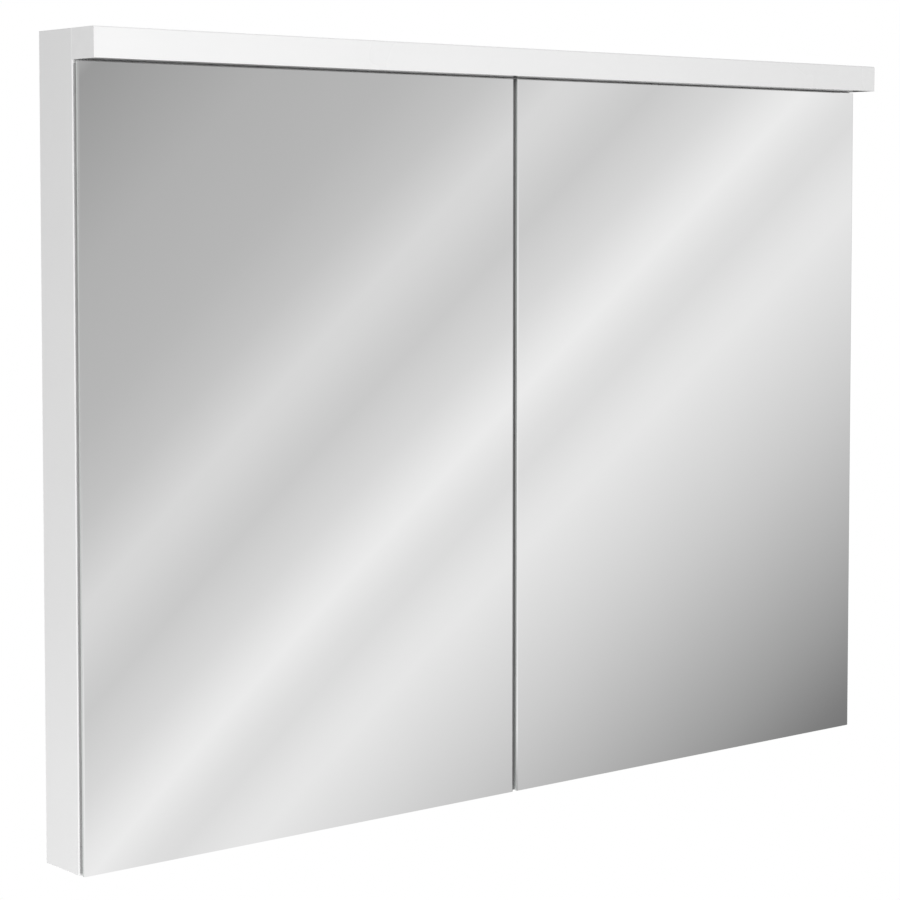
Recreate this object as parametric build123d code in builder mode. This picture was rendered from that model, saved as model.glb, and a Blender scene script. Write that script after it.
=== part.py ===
"""Slim wall cabinet with two mirror doors and a light bar on top, in millimetres.

X runs along the wall, +Y points into the wall and +Z up. The origin is the middle of the
four wall fixing holes, in the wall plane, so the doors face -Y.
"""
import math
import os

from build123d import *

os.makedirs("parts", exist_ok=True)

# Carcass boards
cabinet_width = 1000.0
cabinet_height = 740.0
carcass_depth = 56.0
board = 12.0
partition_thickness = 16.0
back_thickness = 6.0
back_rebate = 6.0  # how far the back panel is let into the boards around it
finger_recess = 14.0  # free height under the bottom panel, behind the doors' lower edges
channel_height = 34.0  # wiring channel under the top panel
cleat_size = 12.0
cover_thickness = 1.2
edge_round = 0.8  # rounding of the side panels' outer edges

# Dowels and screws
dowel_radius = 3.0
dowel_in_end = 12.0
dowel_in_face = 8.0
dowel_edge = 13.0  # from a board's long edge to its dowels
wood_fit = 0.05  # radial room of a dowel or screw in its hole
screw_radius = 1.5
screw_head_radius = 3.0
screw_head_height = 1.6
screw_length = 9.0
bay_screw_count = 3  # cover screws along each bay
bay_screw_edge = 30.0  # from a bay's walls to its first screws

# Wall fixing and cable entry
fixing_from_side = 70.0  # from the cabinet's sides to the wall screws
fixing_from_end = 85.0  # from the cabinet's top and bottom to the wall screws
fixing_hole_radius = 3.5
fixing_plate_size = 40.0
fixing_plate_thickness = 2.0
grommet_from_terminal = 45.0
grommet_bore = 4.5
grommet_sleeve = 8.0
grommet_flange = 10.0
grommet_flange_thickness = 2.0
grommet_room = 0.5  # between the grommet and the cleat below it

# Shelves
shelf_thickness = 5.0
shelf_polish = 0.8
shelf_play = 1.0  # free gap at a shelf's ends and rear edge
shelf_setback = 5.0  # from the carcass's front edge
lower_shelf_rise = 222.0
upper_shelf_rise = 444.0
support_radius = 2.5
support_depth = 6.5
support_blade = 9.0
support_blade_width = 8.0
support_blade_thickness = 3.5
support_pitch = 32.0
support_edge = 13.0  # from the shelf's long edges to its supports

# Continuous hinges
hinge_pin_radius = 0.7
hinge_pin_fit = 0.05
knuckle_radius = 1.2
knuckle_inset = 0.8  # knuckle's outermost point, in from the side panel's face
knuckle_count = 29
knuckle_play = 0.3
hinge_clearance = 0.3
hinge_end = 2.0  # from the door's ends to the hinge's
leaf_thickness = 0.6
leaf_margin = 0.6
leaf_screw_radius = 1.0
leaf_screw_head = 1.9
leaf_screw_head_height = 0.7
leaf_screw_length = 12.0
leaf_screw_inset = 7.5
leaf_screw_count = 7

# Doors
front_pane = 2.4
rear_pane = 1.6
rear_pane_inset = 0.3
glass_past_axis = 0.5  # door glass beyond the hinge axis
meeting_gap = 5.0
door_top_gap = 1.2
bevel_width = 1.2  # of the facet ground along a door's upright edges
bevel_depth = 0.85
strike_length = 28.0
strike_height = 9.0
strike_thickness = 1.0
catch_gap = 0.3
catch_length = 36.0
catch_height = 12.0
catch_depth = 16.0
catch_from_partition = 6.0
magnet_length = 26.0
magnet_height = 7.0
magnet_depth = 6.0
buffer_radius = 2.4
buffer_clearance = 0.3
buffer_from_end = 60.0
seal_thickness = 0.8  # foam strip behind the gap where the doors meet

# Light bar
bar_height = 27.0
bar_depth = 36.0
opal_wall = 2.0
bar_round = 1.5
bar_lower_round = 0.6
cap_thickness = 3.0
cap_plug_length = 5.0
cap_plug_room = 0.4
base_back = 3.0
base_floor = 2.2
base_lip = 1.5
base_lip_height = 5.0
base_top_lip = 6.0
hook = 1.2
hook_fit = 0.2
led_pad = 3.0
led_pad_height = 12.0
led_board_height = 10.0
led_board_thickness = 1.2
led_board_end = 12.0
led_drop = 6.0  # LED row below the top panel's underside
led_pitch = 25.0
led_length = 3.5
led_height = 2.8
led_thickness = 0.8
light_screw_radius = 2.0
light_screw_head = 3.4
light_screw_head_height = 2.4
light_screw_grip = 5.0
light_screw_spacing = 200.0
light_screw_count = 5

# Electrics in the channel
device_ear = 12.0
device_ear_thickness = 3.0
device_round = 1.0
driver_from_middle = 120.0
driver_length = 160.0
driver_width = 28.0
driver_height = 18.0
terminal_from_switch = 95.0
terminal_length = 44.0
terminal_width = 22.0
terminal_height = 15.0
terminal_poles = 3
terminal_pitch = 6.5
terminal_recess = 2.0
terminal_recess_depth = 4.0
lead_radius = 2.2
lead_drop = 10.0  # leads at the devices, below the top panel's underside
lead_apart = 3.2  # leads at the switch, either side of its middle
lead_bend = 14.0
lead_fall = 20.0  # length over which a lead drops to the switch's level
lead_straight = 20.0  # straight length out of a device
lead_end_gap = 0.2
lead_hole_room = 0.3
led_lead_radius = 1.6
led_lead_reach = 34.0

# Rocker switch
switch_from_side = 160.0
switch_length = 19.0
switch_width = 13.0
switch_height = 16.0
switch_lead_rise = 10.0
bezel = 1.6
bezel_thickness = 1.5
switch_fit = 0.15
rocker_length = 14.0
rocker_width = 9.0
rocker_top = 3.4
rocker_shoulder = 1.0
rocker_dip = 2.7
rocker_end_drop = 4.2
rocker_room = 0.3
rocker_tilt = 7.0
rocker_pin_radius = 1.0
rocker_pin_fit = 0.05
rocker_axis_rise = 1.5  # rocker's axis above the cover's underside

# Limits worked out from the sizes above
half_width = cabinet_width / 2
half_height = cabinet_height / 2
inner_x = half_width - board
front_y = -carcass_depth
back_face = -back_thickness
top_underside = half_height - board
bottom_underside = finger_recess - half_height
bay_floor = bottom_underside + board
channel_floor = top_underside - channel_height
bay_ceiling = channel_floor - cover_thickness
partition_x = partition_thickness / 2
rail_rear = front_y + board

fixing_spacing_x = cabinet_width - 2 * fixing_from_side
fixing_spacing_z = cabinet_height - 2 * fixing_from_end
device_y = (rail_rear + back_face) / 2  # middle of the channel's depth
switch_x = half_width - switch_from_side
terminal_x = switch_x - terminal_from_switch
grommet_x = terminal_x - grommet_from_terminal
driver_x = -driver_from_middle

bar_bottom = half_height - bar_height
bar_front = front_y - bar_depth
bar_end = half_width - cap_thickness
led_z = top_underside - led_drop
led_face = front_y - base_back - led_pad
lead_z = top_underside - lead_drop

door_gap = 2 * (knuckle_radius + hinge_clearance)
door_back = front_y - door_gap
pane_joint = door_back - rear_pane
door_front = pane_joint - front_pane
door_top = bar_bottom - door_top_gap
door_bottom = -half_height
axis_inset = knuckle_inset + knuckle_radius
axis_y = front_y - door_gap / 2
hinge_bottom = door_bottom + hinge_end
hinge_top = door_top - hinge_end
knuckle_pitch = (hinge_top - hinge_bottom) / knuckle_count

LOW = (Align.CENTER, Align.CENTER, Align.MIN)


def ordered(first, second):
    """Two limits with the lower one first, so that mirrored pieces share one formula."""
    return min(first, second), max(first, second)


def block(x_limits, y_limits, z_limits, mode=Mode.ADD):
    """A box between three pairs of limits."""
    limits = (x_limits, y_limits, z_limits)
    with Locations(tuple((low + high) / 2 for low, high in limits)):
        Box(*[high - low for low, high in limits], mode=mode)


def patch(across, up, mode=Mode.ADD):
    """A rectangle between two pairs of limits of the sketch plane."""
    with Locations(((across[0] + across[1]) / 2, (up[0] + up[1]) / 2)):
        Rectangle(across[1] - across[0], up[1] - up[0], mode=mode)


def rod(start, direction, radius, length, mode=Mode.ADD):
    """A round bar or hole from a start point along a direction."""
    with Locations(Plane(origin=start, z_dir=direction)):
        Cylinder(radius, length, align=LOW, mode=mode)


def save(piece, name):
    """Label a finished piece and write it to its own file."""
    piece.part.label = name
    export_step(piece.part, f"parts/{name}.step")


# Dowel seats: the joint face's point and the way into the board whose face takes the dowel
dowel_rows = (front_y + dowel_edge, -dowel_edge)
dowel_seats = []
for hand in (-1, 1):
    for row in dowel_rows:
        for level in (half_height - board / 2, bottom_underside + board / 2):
            dowel_seats.append(((hand * inner_x, row, level), (hand, 0, 0)))
    rail_middle = (hand * inner_x, front_y + board / 2, (channel_floor + top_underside) / 2)
    dowel_seats.append((rail_middle, (hand, 0, 0)))
for row in dowel_rows:
    dowel_seats.append(((0, row, bay_floor), (0, 0, -1)))
dowel_seats.append(((0, front_y / 2, bottom_underside), (0, 0, 1)))


def dowels(radius, mode=Mode.ADD):
    """Every dowel of the carcass, or the holes for them."""
    for point, into_face in dowel_seats:
        start = Vector(*point) - Vector(*into_face) * dowel_in_end
        rod(start, into_face, radius, dowel_in_end + dowel_in_face, mode)


def dowel_holes():
    """Holes for the carcass dowels in a board."""
    dowels(dowel_radius + wood_fit, Mode.SUBTRACT)


shelf_rows = (front_y + shelf_setback + support_edge, back_face - shelf_play - support_edge)
shelf_levels = {"lower": bay_floor + lower_shelf_rise, "upper": bay_floor + upper_shelf_rise}


def support_holes(face_x, into):
    """Rows of support holes in a board's face, for shelves a step higher or lower."""
    for level in shelf_levels.values():
        for step in (-1, 0, 1):
            for row in shelf_rows:
                height = level - support_radius + step * support_pitch
                radius = support_radius + wood_fit
                rod((face_x, row, height), (into, 0, 0), radius, support_depth, Mode.SUBTRACT)


def leaf_screw_levels():
    """Heights of a hinge leaf's screws, spread evenly along the leaf."""
    step = (hinge_top - hinge_bottom) / leaf_screw_count
    return [hinge_bottom + step * (index + 0.5) for index in range(leaf_screw_count)]


def side_panel(hand):
    """Full height side board: rebate for the back, dowel, support and hinge screw holes."""
    with BuildPart() as panel:
        block(ordered(hand * inner_x, hand * half_width), (front_y, 0), (-half_height, half_height))
        fillet(panel.edges().group_by(Axis.X)[0 if hand < 0 else -1], edge_round)
        rebate = ordered(hand * inner_x, hand * (inner_x + back_rebate))
        rebate_top = top_underside + back_rebate
        block(rebate, (back_face, 0), (bay_floor - back_rebate, rebate_top), Mode.SUBTRACT)
        dowel_holes()
        support_holes(hand * inner_x, hand)
        for level in leaf_screw_levels():
            start = (hand * (half_width - leaf_screw_inset), front_y, level)
            rod(start, (0, 1, 0), leaf_screw_radius + wood_fit, leaf_screw_length, Mode.SUBTRACT)
    return panel


save(side_panel(-1), "left_side_panel")
save(side_panel(1), "right_side_panel")

# Screw places of the driver and the terminal block, at the middle of their ears
device_screw_x = []
for device_x, device_length in ((driver_x, driver_length), (terminal_x, terminal_length)):
    reach = device_length / 2 + device_ear / 2
    device_screw_x += [device_x - reach, device_x + reach]
device_screw_seat = top_underside - device_ear_thickness

with BuildPart() as top_panel:
    block((-inner_x, inner_x), (front_y, 0), (top_underside, half_height))
    rebate_levels = (top_underside, top_underside + back_rebate)
    block((-inner_x, inner_x), (back_face, 0), rebate_levels, Mode.SUBTRACT)
    dowel_holes()
    for place in device_screw_x:
        start = (place, device_y, device_screw_seat)
        rod(start, (0, 0, 1), screw_radius + wood_fit, screw_length, Mode.SUBTRACT)
save(top_panel, "top_panel")

with BuildPart() as bottom_panel:
    block((-inner_x, inner_x), (front_y, 0), (bottom_underside, bay_floor))
    block((-inner_x, inner_x), (back_face, 0), (bay_floor - back_rebate, bay_floor), Mode.SUBTRACT)
    dowel_holes()
save(bottom_panel, "bottom_panel")

grommet_z = channel_floor + cleat_size + grommet_flange + grommet_room

with BuildPart() as back_panel:
    reach = inner_x + back_rebate
    block((-reach, reach), (back_face, 0), (bay_floor - back_rebate, top_underside + back_rebate))
    with Locations(Plane(origin=(0, 0, 0), x_dir=(1, 0, 0), z_dir=(0, 1, 0))):
        with GridLocations(fixing_spacing_x, fixing_spacing_z, 2, 2):
            Hole(fixing_hole_radius)
    rod((grommet_x, 0, grommet_z), (0, -1, 0), grommet_sleeve, back_thickness, Mode.SUBTRACT)
save(back_panel, "back_panel")

with BuildPart() as centre_partition:
    block((-partition_x, partition_x), (front_y, back_face), (bay_floor, bay_ceiling))
    dowel_holes()
    support_holes(-partition_x, 1)
    support_holes(partition_x, -1)
save(centre_partition, "centre_partition")

# The partition's line goes on below the bottom panel, between the doors' finger recesses
with BuildPart() as recess_divider:
    block((-partition_x, partition_x), (front_y, 0), (-half_height, bottom_underside))
    dowel_holes()
save(recess_divider, "recess_divider")

seal_front = front_y - seal_thickness
with BuildPart() as centre_seal:
    block((-partition_x, partition_x), (seal_front, front_y), (door_bottom, door_top))
save(centre_seal, "centre_seal")

led_lead_x = driver_x - driver_length / 2 - led_lead_reach
light_screw_x = [
    light_screw_spacing * (index - (light_screw_count - 1) / 2) for index in range(light_screw_count)
]
bay_screw_start = partition_x + bay_screw_edge
bay_screw_step = (inner_x - bay_screw_edge - bay_screw_start) / (bay_screw_count - 1)
bay_screw_x = [bay_screw_start + bay_screw_step * index for index in range(bay_screw_count)]
cover_screw_x = [hand * place for hand in (-1, 1) for place in bay_screw_x]
cover_screw_y = (front_y + board / 2, back_face - cleat_size / 2)


def cover_screw_holes(rows):
    """Pilot holes for the cover's screws, up from the channel's floor."""
    for row in rows:
        for place in cover_screw_x:
            start = (place, row, bay_ceiling)
            rod(start, (0, 0, 1), screw_radius + wood_fit, screw_length, Mode.SUBTRACT)


with BuildPart() as light_rail:
    block((-inner_x, inner_x), (front_y, rail_rear), (channel_floor, top_underside))
    dowel_holes()
    for place in light_screw_x:
        hole = light_screw_radius + wood_fit
        rod((place, rail_rear, led_z), (0, -1, 0), hole, board, Mode.SUBTRACT)
    hole = led_lead_radius + lead_hole_room
    rod((led_lead_x, rail_rear, lead_z), (0, -1, 0), hole, board, Mode.SUBTRACT)
    cover_screw_holes(cover_screw_y[:1])
save(light_rail, "light_rail")

with BuildPart() as rear_cleat:
    cleat_levels = (channel_floor, channel_floor + cleat_size)
    block((-inner_x, inner_x), (back_face - cleat_size, back_face), cleat_levels)
    cover_screw_holes(cover_screw_y[1:])
save(rear_cleat, "rear_cleat")

with BuildPart() as service_cover:
    block((-inner_x, inner_x), (front_y, back_face), (bay_ceiling, channel_floor))
    cut_x = (switch_x - switch_length / 2, switch_x + switch_length / 2)
    cut_y = (device_y - switch_width / 2, device_y + switch_width / 2)
    block(cut_x, cut_y, (bay_ceiling, channel_floor), Mode.SUBTRACT)
    cover_screw_holes(cover_screw_y)
save(service_cover, "service_cover")

with BuildPart() as carcass_dowels:
    dowels(dowel_radius)
save(carcass_dowels, "carcass_dowels")


def wood_screw(seat, direction):
    """A pan head screw whose head sits on a face, with the direction into the wood."""
    head_start = Vector(*seat) - Vector(*direction) * screw_head_height
    rod(head_start, direction, screw_head_radius, screw_head_height)
    rod(seat, direction, screw_radius, screw_length)


with BuildPart() as cover_screws:
    for row in cover_screw_y:
        for place in cover_screw_x:
            wood_screw((place, row, bay_ceiling), (0, 0, 1))
save(cover_screws, "cover_screws")

with BuildPart() as fixing_plates:
    with Locations(Plane(origin=(0, back_face, 0), x_dir=(1, 0, 0), z_dir=(0, -1, 0))):
        with GridLocations(fixing_spacing_x, fixing_spacing_z, 2, 2):
            Box(fixing_plate_size, fixing_plate_size, fixing_plate_thickness, align=LOW)
            Cylinder(fixing_hole_radius, fixing_plate_thickness, align=LOW, mode=Mode.SUBTRACT)
save(fixing_plates, "fixing_plates")

with BuildPart() as cable_grommet:
    rod((grommet_x, 0, grommet_z), (0, -1, 0), grommet_sleeve, back_thickness)
    rod((grommet_x, back_face, grommet_z), (0, -1, 0), grommet_flange, grommet_flange_thickness)
    through = back_thickness + grommet_flange_thickness
    rod((grommet_x, 0, grommet_z), (0, -1, 0), grommet_bore, through, Mode.SUBTRACT)
save(cable_grommet, "cable_grommet")

# Glass shelves on blade supports, two to each bay
shelf_depth = (front_y + shelf_setback, back_face - shelf_play)
for hand, bay in ((-1, "left"), (1, "right")):
    for name, level in shelf_levels.items():
        with BuildPart() as shelf:
            width = ordered(hand * (partition_x + shelf_play), hand * (inner_x - shelf_play))
            block(width, shelf_depth, (level, level + shelf_thickness))
            fillet(shelf.edges().filter_by(Axis.X), shelf_polish)
        save(shelf, f"{bay}_{name}_shelf")

support_faces = ((-inner_x, -1), (-partition_x, 1), (partition_x, -1), (inner_x, 1))
with BuildPart() as shelf_supports:
    for face_x, into in support_faces:
        for level in shelf_levels.values():
            for row in shelf_rows:
                rod((face_x, row, level - support_radius), (into, 0, 0), support_radius, support_depth)
                blade = ordered(face_x, face_x - into * support_blade)
                sides = (row - support_blade_width / 2, row + support_blade_width / 2)
                block(blade, sides, (level - support_blade_thickness, level))
save(shelf_supports, "shelf_supports")

# Magnetic catches on the bottom panel, beside the partition
catch_front = front_y - (door_gap - strike_thickness - catch_gap)
catch_middle = partition_x + catch_from_partition + catch_length / 2
catch_mid_z = bay_floor + catch_height / 2


def catch_span(hand, length):
    """Limits along X of a piece centred on a door's catch."""
    return ordered(hand * (catch_middle - length / 2), hand * (catch_middle + length / 2))


def catch_levels(height):
    """Limits along Z of a piece centred on the catches."""
    return catch_mid_z - height / 2, catch_mid_z + height / 2


with BuildPart() as catch_bodies:
    for hand in (-1, 1):
        depth = (catch_front, catch_front + catch_depth)
        block(catch_span(hand, catch_length), depth, catch_levels(catch_height))
        pocket = (catch_front, catch_front + magnet_depth)
        block(catch_span(hand, magnet_length), pocket, catch_levels(magnet_height), Mode.SUBTRACT)
save(catch_bodies, "catch_bodies")

with BuildPart() as catch_magnets:
    for hand in (-1, 1):
        depth = (catch_front, catch_front + magnet_depth)
        block(catch_span(hand, magnet_length), depth, catch_levels(magnet_height))
save(catch_magnets, "catch_magnets")


def hinge_leaf(hand, first_knuckle, leaf_depth):
    """One leaf of a continuous hinge: a plate with every second knuckle on its long edge."""
    axis_x = hand * (half_width - axis_inset)
    plate_edge = hand * (half_width - axis_inset - knuckle_radius - hinge_clearance)
    plate_end = hand * (inner_x + leaf_margin)
    with BuildPart() as leaf:
        block(ordered(plate_edge, plate_end), leaf_depth, (hinge_bottom, hinge_top))
        for index in range(first_knuckle, knuckle_count, 2):
            low = hinge_bottom + index * knuckle_pitch + knuckle_play / 2
            high = low + knuckle_pitch - knuckle_play
            block(ordered(axis_x, plate_edge), leaf_depth, (low, high))
            rod((axis_x, axis_y, low), (0, 0, 1), knuckle_radius, high - low)
        bore = hinge_pin_radius + hinge_pin_fit
        rod((axis_x, axis_y, hinge_bottom), (0, 0, 1), bore, hinge_top - hinge_bottom, Mode.SUBTRACT)
        if first_knuckle == 0:
            for level in leaf_screw_levels():
                hole = (hand * (half_width - leaf_screw_inset), front_y, level)
                radius = leaf_screw_radius + wood_fit
                rod(hole, (0, -1, 0), radius, leaf_thickness, Mode.SUBTRACT)
    return leaf


for hand, side in ((-1, "left"), (1, "right")):
    frame_leaf = hinge_leaf(hand, 0, (front_y - leaf_thickness, front_y))
    save(frame_leaf, f"{side}_hinge_frame_leaf")
    door_leaf = hinge_leaf(hand, 1, (door_back, door_back + leaf_thickness))
    save(door_leaf, f"{side}_hinge_door_leaf")
    with BuildPart() as hinge_pin:
        pin_start = (hand * (half_width - axis_inset), axis_y, hinge_bottom)
        rod(pin_start, (0, 0, 1), hinge_pin_radius, hinge_top - hinge_bottom)
    save(hinge_pin, f"{side}_hinge_pin")

with BuildPart() as hinge_screws:
    for hand in (-1, 1):
        for level in leaf_screw_levels():
            seat = (hand * (half_width - leaf_screw_inset), front_y - leaf_thickness, level)
            rod(seat, (0, 1, 0), leaf_screw_radius, leaf_thickness + leaf_screw_length)
            rod(seat, (0, -1, 0), leaf_screw_head, leaf_screw_head_height)
save(hinge_screws, "hinge_screws")


def mirror_pane(hand, near, far, inset):
    """A rectangular pane of a door between two depths, set in by a margin all round."""
    outer = half_width - axis_inset + glass_past_axis - inset
    width = ordered(hand * (meeting_gap / 2 + inset), hand * outer)
    block(width, (near, far), (door_bottom + inset, door_top - inset))


for hand, side in ((-1, "left"), (1, "right")):
    with BuildPart() as front_mirror:
        mirror_pane(hand, door_front, pane_joint, 0)
        face = front_mirror.faces().sort_by(Axis.Y)[0]
        chamfer(face.edges().filter_by(Axis.Z), bevel_width, bevel_depth, reference=face)
    save(front_mirror, f"{side}_front_mirror")
    with BuildPart() as rear_mirror:
        mirror_pane(hand, pane_joint, door_back, rear_pane_inset)
    save(rear_mirror, f"{side}_rear_mirror")
    with BuildPart() as strike_plate:
        strike_depth = (door_back, door_back + strike_thickness)
        block(catch_span(hand, strike_length), strike_depth, catch_levels(strike_height))
    save(strike_plate, f"{side}_strike_plate")
    with BuildPart() as door_buffers:
        buffer_x = hand * (meeting_gap / 2 + partition_x) / 2
        for level in (door_bottom + buffer_from_end, door_top - buffer_from_end):
            buffer_height = seal_front - door_back - buffer_clearance
            rod((buffer_x, door_back, level), (0, 1, 0), buffer_radius, buffer_height)
    save(door_buffers, f"{side}_door_buffers")

# Light bar: profiles drawn across the bar, in Y and Z, and run along it
cover_top = half_height - opal_wall
cover_rear = bar_front + opal_wall

with BuildPart() as light_base:
    with BuildSketch(Plane.YZ.offset(-bar_end)):
        patch((front_y - base_back, front_y), (bar_bottom, cover_top))
        patch((cover_rear, front_y), (bar_bottom, bar_bottom + base_floor))
        patch((led_face, front_y), (led_z - led_pad_height / 2, led_z + led_pad_height / 2))
        patch((cover_rear, cover_rear + base_lip), (bar_bottom, bar_bottom + base_lip_height))
        patch((front_y - base_top_lip, front_y), (cover_top - base_lip, cover_top))
    extrude(amount=2 * bar_end)
    for place in light_screw_x:
        start = (place, front_y, led_z)
        rod(start, (0, -1, 0), light_screw_radius + wood_fit, light_screw_grip, Mode.SUBTRACT)
    through = base_back + led_pad
    hole = led_lead_radius + lead_hole_room
    rod((led_lead_x, front_y, lead_z), (0, -1, 0), hole, through, Mode.SUBTRACT)
save(light_base, "light_base")

with BuildPart() as opal_cover:
    with BuildSketch(Plane.YZ.offset(-bar_end)):
        patch((bar_front, cover_rear), (bar_bottom, half_height))
        patch((bar_front, front_y), (cover_top, half_height))
        hook_low = bar_bottom + base_lip_height + hook_fit
        patch((cover_rear, cover_rear + hook), (hook_low, hook_low + hook))
        hook_rear = front_y - base_top_lip - hook_fit
        patch((hook_rear - hook, hook_rear), (cover_top - hook, cover_top))
    extrude(amount=2 * bar_end)
    front_edges = opal_cover.edges().filter_by(Axis.X).group_by(Axis.Y)[0].sort_by(Axis.Z)
    fillet(front_edges[-1], bar_round)
    fillet(opal_cover.edges().filter_by(Axis.X).group_by(Axis.Y)[0].sort_by(Axis.Z)[0], bar_lower_round)
save(opal_cover, "opal_cover")

for hand, side in ((-1, "left"), (1, "right")):
    with BuildPart() as end_cap:
        span = ordered(hand * bar_end, hand * half_width)
        block(span, (bar_front, front_y), (bar_bottom, half_height))
        front_edges = end_cap.edges().filter_by(Axis.X).group_by(Axis.Y)[0].sort_by(Axis.Z)
        fillet(front_edges[-1], bar_round)
        lower_edges = end_cap.edges().filter_by(Axis.X).group_by(Axis.Y)[0].sort_by(Axis.Z)
        fillet(lower_edges[0], bar_lower_round)
        plug_reach = ordered(hand * bar_end, hand * (bar_end - cap_plug_length))
        plug_front = cover_rear + max(base_lip, hook) + cap_plug_room
        plug_rear = led_face - led_board_thickness - led_thickness - cap_plug_room
        plug_low = bar_bottom + base_floor + cap_plug_room
        plug_high = cover_top - max(base_lip, hook) - cap_plug_room
        block(plug_reach, (plug_front, plug_rear), (plug_low, plug_high))
    save(end_cap, f"{side}_light_end_cap")

with BuildPart() as led_board:
    board_reach = bar_end - led_board_end
    board_levels = (led_z - led_board_height / 2, led_z + led_board_height / 2)
    block((-board_reach, board_reach), (led_face - led_board_thickness, led_face), board_levels)
save(led_board, "led_board")

with BuildPart() as led_chips:
    chip_count = int(2 * (board_reach - led_length) / led_pitch)
    chip_face = Plane((0, led_face - led_board_thickness, led_z), x_dir=(1, 0, 0), z_dir=(0, -1, 0))
    with Locations(chip_face):
        with GridLocations(led_pitch, led_pitch, chip_count, 1):
            Box(led_length, led_height, led_thickness, align=LOW)
save(led_chips, "led_chips")

with BuildPart() as light_screws:
    for place in light_screw_x:
        seat = (place, rail_rear, led_z)
        rod(seat, (0, -1, 0), light_screw_radius, board + light_screw_grip)
        rod(seat, (0, 1, 0), light_screw_head, light_screw_head_height)
save(light_screws, "light_screws")


def device(casing, middle, length, width, height):
    """Fill a casing under the top panel with a body and a fixing ear at each end."""
    levels = (top_underside - height, top_underside)
    sides = (device_y - width / 2, device_y + width / 2)
    block((middle - length / 2, middle + length / 2), sides, levels)
    fillet(casing.faces().sort_by(Axis.Z)[0].edges(), device_round)
    reach = length / 2 + device_ear
    block((middle - reach, middle + reach), sides, (device_screw_seat, top_underside))
    for place in (middle - reach + device_ear / 2, middle + reach - device_ear / 2):
        start = (place, device_y, device_screw_seat)
        hole = screw_radius + wood_fit
        rod(start, (0, 0, 1), hole, device_ear_thickness, Mode.SUBTRACT)


with BuildPart() as led_driver:
    device(led_driver, driver_x, driver_length, driver_width, driver_height)
save(led_driver, "led_driver")

with BuildPart() as terminal_block:
    device(terminal_block, terminal_x, terminal_length, terminal_width, terminal_height)
    for pole in range(terminal_poles):
        offset = terminal_pitch * (pole - (terminal_poles - 1) / 2)
        for end in (-1, 1):
            place = terminal_x + end * terminal_length / 4
            start = (place, device_y + offset, top_underside - terminal_height)
            rod(start, (0, 0, 1), terminal_recess, terminal_recess_depth, Mode.SUBTRACT)
save(terminal_block, "terminal_block")

with BuildPart() as device_screws:
    for place in device_screw_x:
        wood_screw((place, device_y, device_screw_seat), (0, 0, 1))
save(device_screws, "device_screws")


def lead(points, radius):
    """A round lead along straight runs joined by arcs."""
    with BuildPart() as wire:
        with BuildLine() as route:
            FilletPolyline(*points, radius=lead_bend)
        with BuildSketch(Plane(origin=points[0], z_dir=route.line % 0)):
            Circle(radius)
        sweep(path=route.line)
    return wire


switch_face = switch_x - switch_length / 2 + switch_fit - lead_end_gap
switch_lead_z = bay_ceiling + switch_lead_rise
supply_y = device_y + lead_apart
supply_start = terminal_x + terminal_length / 2 + lead_end_gap
supply_turn = supply_start + lead_straight
supply_points = [
    (supply_start, supply_y, lead_z),
    (supply_turn, supply_y, lead_z),
    (supply_turn + lead_fall, supply_y, switch_lead_z),
    (switch_face, supply_y, switch_lead_z),
]
save(lead(supply_points, lead_radius), "supply_lead")

return_y = device_y - lead_apart
return_start = driver_x + driver_length / 2 + lead_end_gap
return_turn = return_start + lead_straight
return_points = [
    (return_start, return_y, lead_z),
    (return_turn, return_y, lead_z),
    (return_turn + lead_fall, return_y, switch_lead_z),
    (switch_face, return_y, switch_lead_z),
]
save(lead(return_points, lead_radius), "driver_lead")

led_lead_points = [
    (driver_x - driver_length / 2 - lead_end_gap, device_y, lead_z),
    (led_lead_x, device_y, lead_z),
    (led_lead_x, led_face + lead_end_gap, lead_z),
]
save(lead(led_lead_points, led_lead_radius), "led_lead")

# Rocker switch in the service cover, facing down into the right bay
rocker_axis = bay_ceiling + rocker_axis_rise
tilt = math.radians(rocker_tilt)
rocker_half = rocker_length / 2
pocket_half = rocker_half * math.cos(tilt) + rocker_end_drop * math.sin(tilt) + rocker_room
pocket_roof = rocker_axis + rocker_top + rocker_room

with BuildPart() as switch_housing:
    bezel_x = switch_length / 2 + bezel
    bezel_y = switch_width / 2 + bezel
    flange_x = (switch_x - bezel_x, switch_x + bezel_x)
    flange_y = (device_y - bezel_y, device_y + bezel_y)
    block(flange_x, flange_y, (bay_ceiling - bezel_thickness, bay_ceiling))
    body_x = switch_length / 2 - switch_fit
    body_y = switch_width / 2 - switch_fit
    core_x = (switch_x - body_x, switch_x + body_x)
    core_y = (device_y - body_y, device_y + body_y)
    block(core_x, core_y, (bay_ceiling, bay_ceiling + switch_height))
    pocket_x = (switch_x - pocket_half, switch_x + pocket_half)
    pocket_wide = rocker_width / 2 + rocker_room
    pocket_y = (device_y - pocket_wide, device_y + pocket_wide)
    block(pocket_x, pocket_y, (bay_ceiling - bezel_thickness, pocket_roof), Mode.SUBTRACT)
    pin_start = (switch_x, device_y - body_y, rocker_axis)
    rod(pin_start, (0, 1, 0), rocker_pin_radius, 2 * body_y, Mode.SUBTRACT)
save(switch_housing, "switch_housing")

with BuildPart() as rocker_pin:
    rod(pin_start, (0, 1, 0), rocker_pin_radius, 2 * body_y)
save(rocker_pin, "rocker_pin")

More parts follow.
